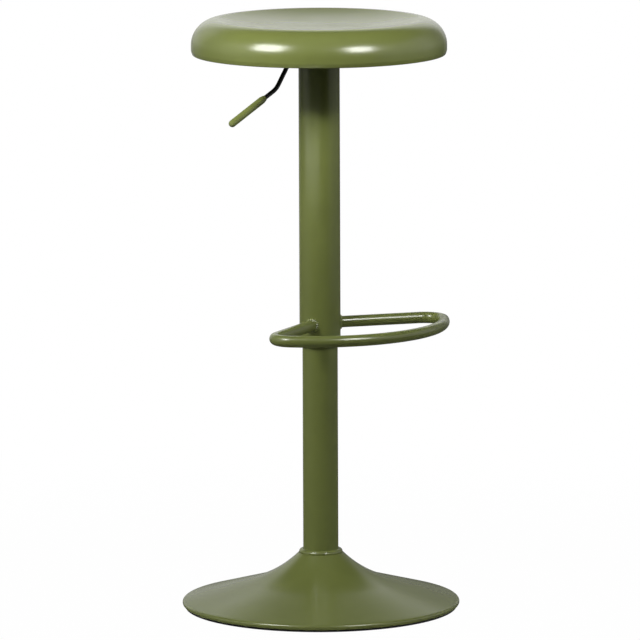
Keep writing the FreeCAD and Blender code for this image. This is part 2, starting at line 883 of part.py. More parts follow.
SUB_PARTS = {
    "floor_ring": floor_ring,
    "ballast_plate": ballast_plate,
    "base_shell": base_shell,
    "base_collar": base_collar,
    "column_flange": column_flange,
    "column_weld": column_weld,
    "base_screws": base_screw_ring,
    "column_tube": column_tube,
    "column_plug": column_plug,
    "guide_bush": guide_bush,
    "bearing_race_lower": bearing_race_lower,
    "bearing_cage": bearing_cage,
    "bearing_balls": bearing_balls,
    "bearing_race_upper": bearing_race_upper,
    "piston_rod": piston_rod,
    "rod_clip": rod_clip,
    "bump_stop": bump_stop,
    "piston": piston,
    "piston_seal": piston_seal,
    "piston_nut": piston_nut,
    "gas_cylinder": gas_cylinder,
    "cylinder_gland": cylinder_gland,
    "rod_seal": rod_seal,
    "valve_body": valve_body,
    "valve_button": valve_button,
    "seat_shell": seat_shell,
    "seat_backing_plate": seat_backing_plate,
    "seat_studs": seat_stud_ring,
    "seat_washers": seat_washers,
    "seat_nuts": seat_nuts,
    "lift_plate": lift_plate,
    "taper_socket": taper_socket,
    "cover_sleeve": cover_sleeve,
    "sleeve_top_ring": sleeve_top_ring,
    "sleeve_screws": sleeve_screw_ring,
    "sleeve_guide_ring": sleeve_guide_ring,
    "footrest_ring": footrest_ring,
    "footrest_welds": footrest_welds,
    "lever_rod": lever_rod,
    "lever_grip": lever_grip,
    "lever_bracket": lever_bracket,
    "lever_pin": lever_pin,
}

os.makedirs("parts", exist_ok=True)
for name, make in SUB_PARTS.items():
    made = make()
    shape = Part.makeCompound(made) if isinstance(made, list) else made
    solids = len(shape.Solids)
    print(f"{name}: {solids} solid(s), {shape.Volume / 1000:.2f} cm3, valid {shape.isValid()}")
    shape.exportStep(f"parts/{name}.step")
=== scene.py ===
# %% [markdown]
# A bar stool on a gas spring, in gloss olive powder coat.
# The real stool is two spun steel shells, a dished seat and a trumpet base, with two tubes between
# them that slide one over the other. An engineering model of it is already packed, with every
# hidden piece at its real size. This lesson loads that model and dresses it for its photograph.
# The shells, the tubes, the footrest and the lever are made again here with finer meshes, and the
# small hardware keeps its engineering shape and gets its real finish.

# %% Load the engineering model
import json
import math

import bmesh
import bpy
from mathutils import Matrix, Vector


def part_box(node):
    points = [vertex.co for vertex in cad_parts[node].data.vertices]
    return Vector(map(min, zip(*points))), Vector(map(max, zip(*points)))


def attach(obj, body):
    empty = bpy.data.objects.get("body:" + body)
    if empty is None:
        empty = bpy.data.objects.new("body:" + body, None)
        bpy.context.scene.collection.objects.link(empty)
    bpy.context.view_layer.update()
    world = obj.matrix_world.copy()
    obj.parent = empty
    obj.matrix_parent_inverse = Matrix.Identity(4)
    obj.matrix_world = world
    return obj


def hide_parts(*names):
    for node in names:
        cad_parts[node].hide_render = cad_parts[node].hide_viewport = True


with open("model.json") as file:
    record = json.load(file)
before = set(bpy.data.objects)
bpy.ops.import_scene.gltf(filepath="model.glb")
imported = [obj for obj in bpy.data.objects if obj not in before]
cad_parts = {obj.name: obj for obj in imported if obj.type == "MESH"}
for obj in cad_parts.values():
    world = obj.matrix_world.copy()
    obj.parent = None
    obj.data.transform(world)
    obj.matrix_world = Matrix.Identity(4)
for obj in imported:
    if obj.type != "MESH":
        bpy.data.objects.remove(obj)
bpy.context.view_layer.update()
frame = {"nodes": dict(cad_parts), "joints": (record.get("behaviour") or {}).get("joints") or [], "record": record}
mm = 0.001
UP = Vector((0.0, 0.0, 1.0))

# %% [markdown]
# The camera.
# The photograph was taken from far away with a long lens, a little above the seat: the seat's rim
# and the base's rim are both shallow ellipses, and the upright edges hardly lean. Its distance,
# height and tilt follow from how round those two ellipses are. Guessing by eye would also do, but
# then every shape would sit a few pixels off.

# %% Camera
camera_distance = 9.8403
camera_height = 1.9441
camera_tilt = math.radians(8.7584)
camera_roll = math.radians(-0.2122)
lens_mm = 380.37
sensor_mm = 36.0

camera_data = bpy.data.cameras.new("photograph_camera")
camera_data.lens = lens_mm
camera_data.sensor_width = sensor_mm
camera = bpy.data.objects.new("photograph_camera", camera_data)
bpy.context.scene.collection.objects.link(camera)
looking_down = Matrix.Rotation(math.pi / 2 - camera_tilt, 4, "X")
rolled = Matrix.Rotation(camera_roll, 4, "Z")
camera.matrix_world = Matrix.Translation((0.0, -camera_distance, camera_height)) @ looking_down @ rolled
bpy.context.scene.camera = camera
bpy.context.scene.view_settings.view_transform = "Standard"
print("camera stands", camera_distance, "m in front and", camera_height, "m up")

# %% [markdown]
# Colours and nodes.
# Colours are written as sRGB hex, as a paint shop would give them, and turned to the linear values
# that the renderer wants by one function. Another starts a material with nothing in it, and one
# more adds any node, with its settings, its values and its links. A helper for each kind of node
# would hide what the tree is made of.

# %% Helpers for colours and nodes
def linear(colour):
    """An sRGB hex colour such as #808080 as linear red, green, blue and alpha."""
    parts = [int(colour[place:place + 2], 16) / 255.0 for place in (1, 3, 5)]
    straight = [part / 12.92 if part <= 0.04045 else ((part + 0.055) / 1.055) ** 2.4 for part in parts]
    return (*straight, 1.0)


def bare_material(name):
    """A new material and its node tree, with nothing in it."""
    material = bpy.data.materials.new(name)
    material.use_nodes = True
    material.node_tree.nodes.clear()
    return material, material.node_tree


def add(tree, kind, settings, inputs):
    """Add a node to a tree: settings are its properties, inputs are values or sockets to link."""
    node = tree.nodes.new(kind)
    for name, value in settings.items():
        setattr(node, name, value)
    for name, value in inputs.items():
        if isinstance(value, bpy.types.NodeSocket):
            tree.links.new(value, node.inputs[name])
        else:
            node.inputs[name].default_value = value
    return node


def per_metre(size_mm):
    """How many repeats of a pattern of this size fit in a metre, which is a texture's scale."""
    return 1.0 / (size_mm * mm)


print("olive in linear light:", [round(part, 3) for part in linear("#7A8345")])

# %% [markdown]
# The lamps.
# The photograph shows two bright patches on the seat's shoulder, left and right of the middle, and
# the seat's shadow on the sleeve ends in a short blur. Both say the same: two softboxes stand in
# front, a little above the seat and to its sides. Their headings and heights follow from where the
# patches lie. Each is hung as two lamps at one place, a light for the paint and a face for the gloss
# to mirror, because the bright patches show a larger face than the light on the paint does. A
# third, weak softbox stands near the stool and lifts the tubes' right sides. The top of the sleeve
# is brighter than the tube below it, so a spot with a soft edge is aimed at the column under the
# seat, and a second one at the seat's right. A single sun lamp would be quicker, but it mirrors as
# a hard dot, and a gloss finish is mostly known by what it mirrors. The grip is the one soft, dull
# piece, and light linking keeps the two faces off it: they would give it nothing to mirror, only
# grain in the render.

# %% Softboxes
def toward(heading_degrees, rise_degrees):
    """A direction from a heading and a rise. Headings count from straight behind, plus to the right."""
    heading = math.radians(heading_degrees)
    rise = math.radians(rise_degrees)
    level_way = Vector((math.sin(heading), math.cos(heading), 0.0))
    return level_way * math.cos(rise) + UP * math.sin(rise)


dull_pieces = bpy.data.collections.new("dull_pieces")


def hang_lamp(name, kind, location, aim, settings, mirrored=False):
    """A lamp that lights the paint, or one that only the gloss sees, turned to face its aim."""
    light = bpy.data.lights.new(name, kind)
    for setting, value in settings.items():
        setattr(light, setting, value)
    lamp = bpy.data.objects.new(name, light)
    bpy.context.scene.collection.objects.link(lamp)
    lamp.location = location
    lamp.rotation_euler = (location - aim).to_track_quat("Z", "Y").to_euler()
    lamp.visible_camera = False
    lamp.visible_glossy = mirrored
    lamp.visible_diffuse = not mirrored
    if mirrored:
        lamp.light_linking.receiver_collection = dull_pieces
    print(name, "gives", round(light.energy, 1), "W at", [round(part, 2) for part in location])


def softbox(name, location, width, height, brightness, mirrored=False):
    """A rectangle of even brightness, which gives pi times brightness times area in watts."""
    hang_lamp(name, "AREA", location, upper_stool, {
        "shape": "RECTANGLE", "size": width, "size_y": height,
        "energy": brightness * math.pi * width * height,
    }, mirrored)


def soft_spot(name, location, aim, cone_degrees, watts):
    """A small round lamp whose cone fades from its middle to its edge."""
    hang_lamp(name, "SPOT", location, aim, {
        "spot_size": math.radians(cone_degrees), "spot_blend": 1.0, "shadow_soft_size": spot_radius,
        "energy": watts,
    })


spot_radius = 0.08
upper_stool = Vector((0.0, 0.0, 0.75))
left_patch = Vector((-0.072, -0.165, 0.862))
right_patch = Vector((0.058, -0.172, 0.862))
under_seat = Vector((0.0, 0.0, 0.67))
seat_right = Vector((0.02, -0.03, 0.81))
lamp_distance = 1.5
near_distance = 0.7
left_place = left_patch + toward(-128.8, 33.0) * lamp_distance
right_place = right_patch + toward(139.7, 29.0) * lamp_distance
near_place = right_patch + toward(160.0, 29.0) * near_distance
spot_place = under_seat + toward(-145.0, 30.0) * lamp_distance
softbox("left_softbox", left_place, width=0.44, height=0.42, brightness=29.5)
softbox("left_softbox_face", left_place, width=0.60, height=0.60, brightness=44.0, mirrored=True)
softbox("right_softbox", right_place, width=0.40, height=0.30, brightness=8.7)
softbox("right_softbox_face", right_place, width=0.50, height=0.46, brightness=45.0, mirrored=True)
softbox("near_softbox", near_place, width=0.20, height=0.16, brightness=8.0)
soft_spot("left_spot", spot_place, under_seat, cone_degrees=12.0, watts=21.0)
soft_spot("right_spot", right_place, seat_right, cone_degrees=18.0, watts=18.0)

# %% [markdown]
# The walls.
# Gloss paint shows the whole room. The dish is pale because it mirrors a white wall behind, the
# tubes have pale sides because of white flats left and right, and their middles are dark because
# the camera's side is unlit. One ramp gives the walls' brightness by heading and another by rise,
# and two soft patches are added, one on the wall behind, where the seat's dish mirrors it, and one
# on the ceiling in front. The walls light the stool as well, a little. Camera rays see plain white,
# as in the cut-out photograph.

# %% Walls seen by the gloss
walls_by_heading = [
    (-132.0, 0.02), (-120.0, 0.85), (-84.0, 0.80), (-72.0, 0.33), (-50.0, 0.33), (-40.0, 0.75),
    (18.0, 0.85), (27.0, 0.20), (48.0, 0.33), (62.0, 0.85), (120.0, 0.85), (132.0, 0.02), (180.0, 0.02),
]
wall_at_left = 0.85
walls_by_rise = [
    (-90.0, 0.3), (-20.0, 0.3), (-8.0, 0.25), (-3.0, 0.6), (3.0, 1.0), (29.0, 1.0), (35.0, 0.45),
    (40.0, 0.05), (90.0, 0.02),
]


def brightness_ramp(tree, measure, stops):
    """A ramp through (share, brightness) stops, read at a measure from 0 to 1."""
    ramp = add(tree, "ShaderNodeValToRGB", {}, {"Fac": measure})
    while len(ramp.color_ramp.elements) < len(stops):
        ramp.color_ramp.elements.new(1.0)
    for element, (share, brightness) in zip(ramp.color_ramp.elements, sorted(stops)):
        element.position = share
        element.color = (brightness, brightness, brightness, 1.0)
    return ramp.outputs["Color"]


world = bpy.data.worlds.new("white_studio")
world.use_nodes = True
bpy.context.scene.world = world
tree = world.node_tree
tree.nodes.clear()
rays = add(tree, "ShaderNodeLightPath", {}, {})
look = add(tree, "ShaderNodeTexCoord", {}, {}).outputs["Generated"]
heading_share = add(tree, "ShaderNodeTexGradient", {"gradient_type": "RADIAL"}, {"Vector": look})
# The gradient starts and ends at the left, at a heading of -90 degrees, and falls as headings grow.
heading_stops = [((0.75 - heading / 360.0) % 1.0, level) for heading, level in walls_by_heading]
heading_stops += [(0.0, wall_at_left), (1.0, wall_at_left)]
by_heading = brightness_ramp(tree, heading_share.outputs["Fac"], heading_stops)
rise_share = add(tree, "ShaderNodeMapRange", {}, {
    "Value": add(tree, "ShaderNodeSeparateXYZ", {}, {0: look}).outputs["Z"],
    "From Min": -1.0, "From Max": 1.0,
})
rise_stops = [(0.5 + math.sin(math.radians(rise)) / 2, level) for rise, level in walls_by_rise]
by_rise = brightness_ramp(tree, rise_share.outputs["Result"], rise_stops)
walls = add(tree, "ShaderNodeMath", {"operation": "MULTIPLY"}, {0: by_heading, 1: by_rise})
print(len(heading_stops), "stops round the room and", len(rise_stops), "from the floor up")

# %% Two soft patches, and white for the camera
def glow_patch(tree, look, middle, edge, core, level):
    """A round soft patch round a middle direction. Its edge and core are cosines from that middle."""
    nearness = add(tree, "ShaderNodeVectorMath", {"operation": "DOT_PRODUCT"}, {0: look, 1: middle})
    patch = add(tree, "ShaderNodeMapRange", {"interpolation_type": "SMOOTHSTEP"}, {
        "Value": nearness.outputs["Value"],
        "From Min": edge, "From Max": core, "To Min": 0.0, "To Max": level,
    })
    return patch.outputs["Result"]


front_ceiling = glow_patch(tree, look, middle=(0.0, -0.5, 0.87), edge=0.70, core=0.95, level=0.22)
back_wall = glow_patch(tree, look, middle=(0.0, 0.96, 0.28), edge=0.93, core=0.985, level=0.38)
glows = add(tree, "ShaderNodeMath", {"operation": "ADD"}, {0: front_ceiling, 1: back_wall})
room = add(tree, "ShaderNodeMath", {"operation": "ADD"}, {0: walls.outputs[0], 1: glows.outputs[0]})
strength = add(tree, "ShaderNodeMath", {"operation": "MAXIMUM"},
               {0: room.outputs[0], 1: rays.outputs["Is Camera Ray"]})
sky = add(tree, "ShaderNodeBackground", {},
          {"Color": linear("#FFFFFF"), "Strength": strength.outputs[0]})
add(tree, "ShaderNodeOutputWorld", {}, {"Surface": sky.outputs[0]})
print("brightest wall:", max(level for heading, level in walls_by_heading))

# %% [markdown]
# The floor.
# A white sheet that the camera sees as nearly white, with only a trace of the stool's shadow, as in
# the cut-out photograph. The gloss sees it as a dim grey, a little paler far out. The paper is
# painted pale near the stool and dark farther out, a painted pool of the lamps' light, so little
# more than the stool's foot gets bounced light. Its underside is clear, so that a camera below it can
# look up at the stool.

# %% Floor sheet
floor_radius = 2.6
floor_drop = 0.2 * mm
floor_sides = 96

floor_mesh = bpy.data.meshes.new("floor_sheet")
sheet_form = bmesh.new()
bmesh.ops.create_circle(sheet_form, cap_ends=True, segments=floor_sides, radius=floor_radius)
sheet_form.to_mesh(floor_mesh)
sheet_form.free()
floor_sheet = bpy.data.objects.new("floor_sheet", floor_mesh)
bpy.context.scene.collection.objects.link(floor_sheet)
floor_sheet.location.z = -floor_drop
print("floor sheet is", 2 * floor_radius, "m across")

# %% Paper of the floor
floor_white_near = 0.99
floor_white_from = 0.3
floor_white_at = 1.5
mirrored_floor_near = 0.10
mirrored_floor_far = 0.13
mirrored_floor_from = 0.5
# Painted pool of light: how far out the paper stays pale, where the lamps' light falls, and where it turns dark.
lit_pool_to = 0.3
unlit_floor_from = 0.75

matt_paper, tree = bare_material("matt_white_paper")
rays = add(tree, "ShaderNodeLightPath", {}, {})
place = add(tree, "ShaderNodeTexCoord", {}, {}).outputs["Object"]
outward = add(tree, "ShaderNodeVectorMath", {"operation": "LENGTH"}, {0: place}).outputs["Value"]
whiteness = add(tree, "ShaderNodeMapRange", {"interpolation_type": "SMOOTHSTEP"}, {
    "Value": outward, "From Min": floor_white_from, "From Max": floor_white_at,
    "To Min": floor_white_near, "To Max": 1.0,
})
mirrored_floor = add(tree, "ShaderNodeMapRange", {"interpolation_type": "SMOOTHSTEP"}, {
    "Value": outward, "From Min": mirrored_floor_from, "From Max": floor_radius,
    "To Min": mirrored_floor_near, "To Max": mirrored_floor_far,
})
# Painted pool of light: pale paper where the lamps' light falls near the stool, dark paper beyond.
painted_pool_tone = add(tree, "ShaderNodeMix", {"data_type": "RGBA"}, {
    0: add(tree, "ShaderNodeMapRange", {"interpolation_type": "SMOOTHSTEP"}, {
        "Value": outward, "From Min": lit_pool_to, "From Max": unlit_floor_from,
    }).outputs["Result"],
    6: linear("#D8D8D8"),
    7: linear("#3A3A3A"),
})
paper = add(tree, "ShaderNodeBsdfDiffuse", {}, {"Color": painted_pool_tone.outputs[2]})
white_glow = add(tree, "ShaderNodeEmission", {}, {"Color": linear("#FFFFFF"), "Strength": 1.0})
lit_paper = add(tree, "ShaderNodeMixShader", {}, {
    0: add(tree, "ShaderNodeMath", {"operation": "MULTIPLY"},
           {0: rays.outputs["Is Camera Ray"], 1: whiteness.outputs["Result"]}).outputs[0],
    1: paper.outputs[0],
    2: white_glow.outputs[0],
})
dim_glow = add(tree, "ShaderNodeEmission", {}, {
    "Color": linear("#FFFFFF"), "Strength": mirrored_floor.outputs["Result"],
})
mirrored_rays = add(tree, "ShaderNodeMath", {"operation": "ADD"},
                    {0: rays.outputs["Is Glossy Ray"], 1: rays.outputs["Is Transmission Ray"]})
upper_side = add(tree, "ShaderNodeMixShader", {},
                 {0: mirrored_rays.outputs[0], 1: lit_paper.outputs[0], 2: dim_glow.outputs[0]})
one_sided = add(tree, "ShaderNodeMixShader", {}, {
    0: add(tree, "ShaderNodeNewGeometry", {}, {}).outputs["Backfacing"],
    1: upper_side.outputs[0],
    2: add(tree, "ShaderNodeBsdfTransparent", {}, {}).outputs[0],
})
add(tree, "ShaderNodeOutputMaterial", {}, {"Surface": one_sided.outputs[0]})
floor_mesh.materials.append(matt_paper)
# The pale and the dark paper are painted light: a pool where the lamps' light falls, and none beyond.
print("paper is pale within", lit_pool_to, "m and dark from", unlit_floor_from, "m")

# %% [markdown]
# Cards for the gloss.
# The seat's dish and the sides of the base face the same way, but the photograph shows a pale dish
# and a base that stays green, most of all on its right. Something grey and low stood behind it, and
# two cards do the same here. A third card stands near the stool, in front at its left. It glows
# along its top edge and fades towards its foot, and gives the sleeve the bright patch that it shows
# under the seat's shadow. Only the gloss sees the cards, so they add no light to the paint.

# %% Cards seen by the gloss alone
back_card_distance = 1.5
back_card_width = 0.65
back_card_height = 0.75
front_card_way = toward(-140.0, 0.0)
front_card_distance = 0.30
front_card_width = 0.50
front_card_foot = 0.54
front_card_top = 0.669
front_card_glow = 2.5


def gloss_card(name, middle, facing, width, height, foot_level, top_level):
    """An upright card that only mirrored rays see, with one glow at its foot and one at its top."""
    across = facing.cross(UP).normalized() * width / 2
    up = UP * height / 2
    mesh = bpy.data.meshes.new(name)
    corners = [middle - across - up, middle + across - up, middle + across + up, middle - across + up]
    mesh.from_pydata(corners, [], [(0, 1, 2, 3)])
    card_paint, tree = bare_material(name)
    place = add(tree, "ShaderNodeTexCoord", {}, {}).outputs["Generated"]
    level = add(tree, "ShaderNodeMapRange", {}, {
        "Value": add(tree, "ShaderNodeSeparateXYZ", {}, {0: place}).outputs["Z"],
        "To Min": foot_level, "To Max": top_level,
    })
    glow = add(tree, "ShaderNodeEmission", {}, {
        "Color": linear("#FFFFFF"), "Strength": level.outputs["Result"],
    })
    add(tree, "ShaderNodeOutputMaterial", {}, {"Surface": glow.outputs[0]})
    mesh.materials.append(card_paint)
    card = bpy.data.objects.new(name, mesh)
    bpy.context.scene.collection.objects.link(card)
    card.visible_camera = False
    card.visible_diffuse = False
    card.visible_shadow = False


towards_camera = Vector((0.0, -1.0, 0.0))
for name, side, level in (("left_card", -1.0, 0.58), ("right_card", 1.0, 0.26)):
    middle = Vector((side * back_card_width / 2, back_card_distance, back_card_height / 2))
    gloss_card(name, middle, towards_camera, back_card_width, back_card_height, level, level)
middle = front_card_way * front_card_distance + UP * (front_card_foot + front_card_top) / 2
gloss_card("front_card", middle, front_card_way, front_card_width, front_card_top - front_card_foot,
           0.0, front_card_glow)
print("cards stand", back_card_distance, "m behind the stool and", front_card_distance, "m in front")

# %% [markdown]
# Olive powder coat.
# The shells and tubes are powder coated: dry polyester powder is sprayed on the bare steel and
# baked until it flows into one glossy skin. The skin never lies quite flat. It keeps a faint
# orange peel a few millimetres wide, which makes the edges of a highlight tremble, and its gloss
# drifts a little where the film is thicker. The peel is drawn deeper than a good real one, or it
# would not show at this size. Noise keeps mostly between 0.3 and 0.7, so these two numbers stand
# for the thinnest and the thickest film.

# %% Gloss powder coat
noise_low = 0.3
noise_high = 0.7
film_patch_mm = 45.0
film_tone = (0.965, 1.03)
film_gloss = (0.9, 1.12)


def glossy_skin(name, colour, roughness, wave_mm, wave_depth_mm):
    """A glossy skin: an even colour, a slow drift of gloss, and the small waves of its surface."""
    finish, tree = bare_material(name)
    place = add(tree, "ShaderNodeTexCoord", {}, {}).outputs["Object"]
    film = add(tree, "ShaderNodeTexNoise", {},
               {"Vector": place, "Scale": per_metre(film_patch_mm), "Detail": 3.0})
    tone = add(tree, "ShaderNodeMix", {"data_type": "RGBA", "blend_type": "MULTIPLY"}, {
        0: 1.0,
        6: linear(colour),
        7: add(tree, "ShaderNodeMapRange", {}, {
            "Value": film.outputs["Fac"], "From Min": noise_low, "From Max": noise_high,
            "To Min": film_tone[0], "To Max": film_tone[1],
        }).outputs["Result"],
    })
    gloss = add(tree, "ShaderNodeMapRange", {}, {
        "Value": film.outputs["Fac"], "From Min": noise_low, "From Max": noise_high,
        "To Min": roughness * film_gloss[0], "To Max": roughness * film_gloss[1],
    })
    wave = add(tree, "ShaderNodeTexNoise", {},
               {"Vector": place, "Scale": per_metre(wave_mm), "Detail": 1.0})
    relief = add(tree, "ShaderNodeBump", {}, {
        "Height": wave.outputs["Fac"], "Strength": 1.0, "Distance": wave_depth_mm * mm,
    })
    coat = add(tree, "ShaderNodeBsdfPrincipled", {}, {
        "Base Color": tone.outputs[2],
        "Roughness": gloss.outputs["Result"],
        "IOR": 1.5,
        "Normal": relief.outputs[0],
    })
    add(tree, "ShaderNodeOutputMaterial", {}, {"Surface": coat.outputs[0]})
    return finish


olive_powder_coat = glossy_skin("olive_powder_coat", "#7A8345", roughness=0.24,
                                wave_mm=3.5, wave_depth_mm=0.008)
black_powder_coat = glossy_skin("black_powder_coat", "#161616", roughness=0.28,
                                wave_mm=3.0, wave_depth_mm=0.010)
print("powder coats made:", olive_powder_coat.name, "and", black_powder_coat.name)

# %% [markdown]
# Other finishes.
# Grey primer is a matt sprayed undercoat with a fine dry grain. Zinc plate is a thin bright metal
# skin with faint cloudy patches, bluish from its passivation. Ground steel is the mirror of the
# gas spring's rod and of the bearing, with hair lines round it. Rubber and moulded nylon are dark
# and broad in their shine, the rubber with a matt bloom and the nylon with the skin of its mould.

# %% Primer, rubber and nylon
dull_cloud_mm = 30.0
dull_tone = (0.85, 1.15)
dull_gloss = (0.88, 1.12)


def grained_skin(name, colour, roughness, grain_mm, grain_depth_mm, index):
    """A dull skin with an even grain, such as primer, rubber or moulded nylon."""
    finish, tree = bare_material(name)
    place = add(tree, "ShaderNodeTexCoord", {}, {}).outputs["Object"]
    grain = add(tree, "ShaderNodeTexNoise", {},
                {"Vector": place, "Scale": per_metre(grain_mm), "Detail": 4.0})
    cloud = add(tree, "ShaderNodeTexNoise", {},
                {"Vector": place, "Scale": per_metre(dull_cloud_mm), "Detail": 2.0})
    tone = add(tree, "ShaderNodeMix", {"data_type": "RGBA", "blend_type": "MULTIPLY"}, {
        0: 1.0,
        6: linear(colour),
        7: add(tree, "ShaderNodeMapRange", {}, {
            "Value": cloud.outputs["Fac"], "From Min": noise_low, "From Max": noise_high,
            "To Min": dull_tone[0], "To Max": dull_tone[1],
        }).outputs["Result"],
    })
    dryness = add(tree, "ShaderNodeMapRange", {}, {
        "Value": grain.outputs["Fac"], "From Min": noise_low, "From Max": noise_high,
        "To Min": roughness * dull_gloss[0], "To Max": roughness * dull_gloss[1],
    })
    relief = add(tree, "ShaderNodeBump", {}, {
        "Height": grain.outputs["Fac"], "Strength": 1.0, "Distance": grain_depth_mm * mm,
    })
    skin = add(tree, "ShaderNodeBsdfPrincipled", {}, {
        "Base Color": tone.outputs[2],
        "Roughness": dryness.outputs["Result"],
        "IOR": index,
        "Normal": relief.outputs[0],
    })
    add(tree, "ShaderNodeOutputMaterial", {}, {"Surface": skin.outputs[0]})
    return finish


sprayed_primer = grained_skin("sprayed_grey_primer", "#65686A", roughness=0.62,
                              grain_mm=0.8, grain_depth_mm=0.02, index=1.5)
moulded_rubber = grained_skin("moulded_rubber", "#1B1B1A", roughness=0.68,
                              grain_mm=1.2, grain_depth_mm=0.03, index=1.52)
moulded_nylon = grained_skin("moulded_nylon", "#202020", roughness=0.42,
                             grain_mm=0.9, grain_depth_mm=0.015, index=1.53)
print("dull finishes made:", sprayed_primer.name, moulded_rubber.name, moulded_nylon.name)

# %% Zinc plate and ground steel
line_stretch = 25.0
metal_tone = (0.88, 1.06)
metal_gloss = (0.75, 1.3)


def bright_metal(name, colour, roughness, cloud_mm, line_mm, line_depth_mm):
    """A bare or plated metal: cloudy gloss, and fine lines round the column's axis."""
    finish, tree = bare_material(name)
    place = add(tree, "ShaderNodeTexCoord", {}, {}).outputs["Object"]
    cloud = add(tree, "ShaderNodeTexNoise", {},
                {"Vector": place, "Scale": per_metre(cloud_mm), "Detail": 4.0})
    tone = add(tree, "ShaderNodeMix", {"data_type": "RGBA", "blend_type": "MULTIPLY"}, {
        0: 1.0,
        6: linear(colour),
        7: add(tree, "ShaderNodeMapRange", {}, {
            "Value": cloud.outputs["Fac"], "From Min": noise_low, "From Max": noise_high,
            "To Min": metal_tone[0], "To Max": metal_tone[1],
        }).outputs["Result"],
    })
    sheen = add(tree, "ShaderNodeMapRange", {}, {
        "Value": cloud.outputs["Fac"], "From Min": noise_low, "From Max": noise_high,
        "To Min": roughness * metal_gloss[0], "To Max": roughness * metal_gloss[1],
    })
    drawn = add(tree, "ShaderNodeMapping", {},
                {"Vector": place, "Scale": (1.0 / line_stretch, 1.0 / line_stretch, 1.0)})
    lines = add(tree, "ShaderNodeTexNoise", {}, {
        "Vector": drawn.outputs[0], "Scale": per_metre(line_mm), "Detail": 2.0,
    })
    relief = add(tree, "ShaderNodeBump", {}, {
        "Height": lines.outputs["Fac"], "Strength": 1.0, "Distance": line_depth_mm * mm,
    })
    metal = add(tree, "ShaderNodeBsdfPrincipled", {}, {
        "Base Color": tone.outputs[2],
        "Metallic": 1.0,
        "Roughness": sheen.outputs["Result"],
        "Normal": relief.outputs[0],
    })
    add(tree, "ShaderNodeOutputMaterial", {}, {"Surface": metal.outputs[0]})
    return finish


zinc_plate = bright_metal("zinc_plated_steel", "#C3C8CC", roughness=0.30,
                          cloud_mm=4.0, line_mm=0.4, line_depth_mm=0.004)
ground_steel = bright_metal("ground_hard_steel", "#D2D2D0", roughness=0.10,
                            cloud_mm=12.0, line_mm=0.25, line_depth_mm=0.001)
print("metals made:", zinc_plate.name, "and", ground_steel.name)

# %% [markdown]
# Dipped vinyl grip.
# The lever's end is dipped in liquid vinyl, which sets as a soft skin in the paint's colour. It is
# softer in its shine than the powder coat and has no peel, only a slow wave where it ran down.

# %% Dipped vinyl
dipped_vinyl = glossy_skin("dipped_vinyl", "#7C8548", roughness=0.32, wave_mm=9.0, wave_depth_mm=0.02)
print("grip finish made:", dipped_vinyl.name)

# %% [markdown]
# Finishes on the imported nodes.
# The record names a slot for each node, so one table from slot to finish dresses all of them. The
# pieces that are made again below take their finish from the same names.

# %% Each slot's finish
finish_of_slot = {
    "green_enamel": olive_powder_coat,
    "green_grip": dipped_vinyl,
    "black_enamel": black_powder_coat,
    "grey_primer": sprayed_primer,
    "zinc_steel": zinc_plate,
    "hard_steel": ground_steel,
    "black_rubber": moulded_rubber,
    "black_nylon": moulded_nylon,
}
for subpart in frame["record"]["subparts"]:
    node = frame["nodes"][subpart["node"]]
    for place in node.material_slots:
        place.material = finish_of_slot[subpart["material_slot"]]
print("every packed node has its finish")

# %% [markdown]
# Turned outlines.
# Spun shells and tubes are all outlines turned about one axis. An outline here is a short list of
# corners, each a radius, a height and the radius of the bend there, as on a spinner's drawing. A
# modelled circle could be scaled and extruded by hand instead, but then the bends would not have
# their real radii, and those radii are what shapes every highlight on the paint.

# %% Outlines with true bends
longest_run = 5.0 * mm
widest_turn = math.radians(6.0)
smallest_turn = 1e-6
smallest_step = 1e-7


def follow_bends(corners):
    """Points along straight runs through (distance, height, bend) corners, with an arc at each bend."""
    points = [Vector(corners[0][:2])]

    def run_to(target):
        start = points[-1].copy()
        pieces = max(1, math.ceil((target - start).length / longest_run))
        for piece in range(1, pieces + 1):
            points.append(start.lerp(target, piece / pieces))

    for before, corner, after in zip(corners, corners[1:], corners[2:]):
        place = Vector(corner[:2])
        bend = corner[2]
        way_in = (place - Vector(before[:2])).normalized()
        way_out = (Vector(after[:2]) - place).normalized()
        turn = math.atan2(way_in.x * way_out.y - way_in.y * way_out.x, way_in.dot(way_out))
        if bend <= 0.0 or abs(turn) < smallest_turn:
            run_to(place)
            continue
        arc_start = place - way_in * bend * math.tan(abs(turn) / 2)
        if (arc_start - points[-1]).length > smallest_step:
            run_to(arc_start)
        centre = arc_start + Vector((-way_in.y, way_in.x)) * math.copysign(bend, turn)
        steps = max(2, math.ceil(abs(turn) / widest_turn), math.ceil(bend * abs(turn) / longest_run))
        spoke = arc_start - centre
        for step in range(1, steps + 1):
            points.append(centre + Matrix.Rotation(turn * step / steps, 2) @ spoke)
    last = Vector(corners[-1][:2])
    if (last - points[-1]).length > smallest_step:
        run_to(last)
    return points


trial_bend = 38.0 * mm
trial_corners = [(0.0, 0.0, 0.0), (trial_bend, 0.0, trial_bend), (trial_bend, trial_bend, 0.0)]
print("a quarter bend of 38 mm has", len(follow_bends(trial_corners)), "points")

# %% Outlines of bent sheets and of solid pieces
sheet = 1.5 * mm


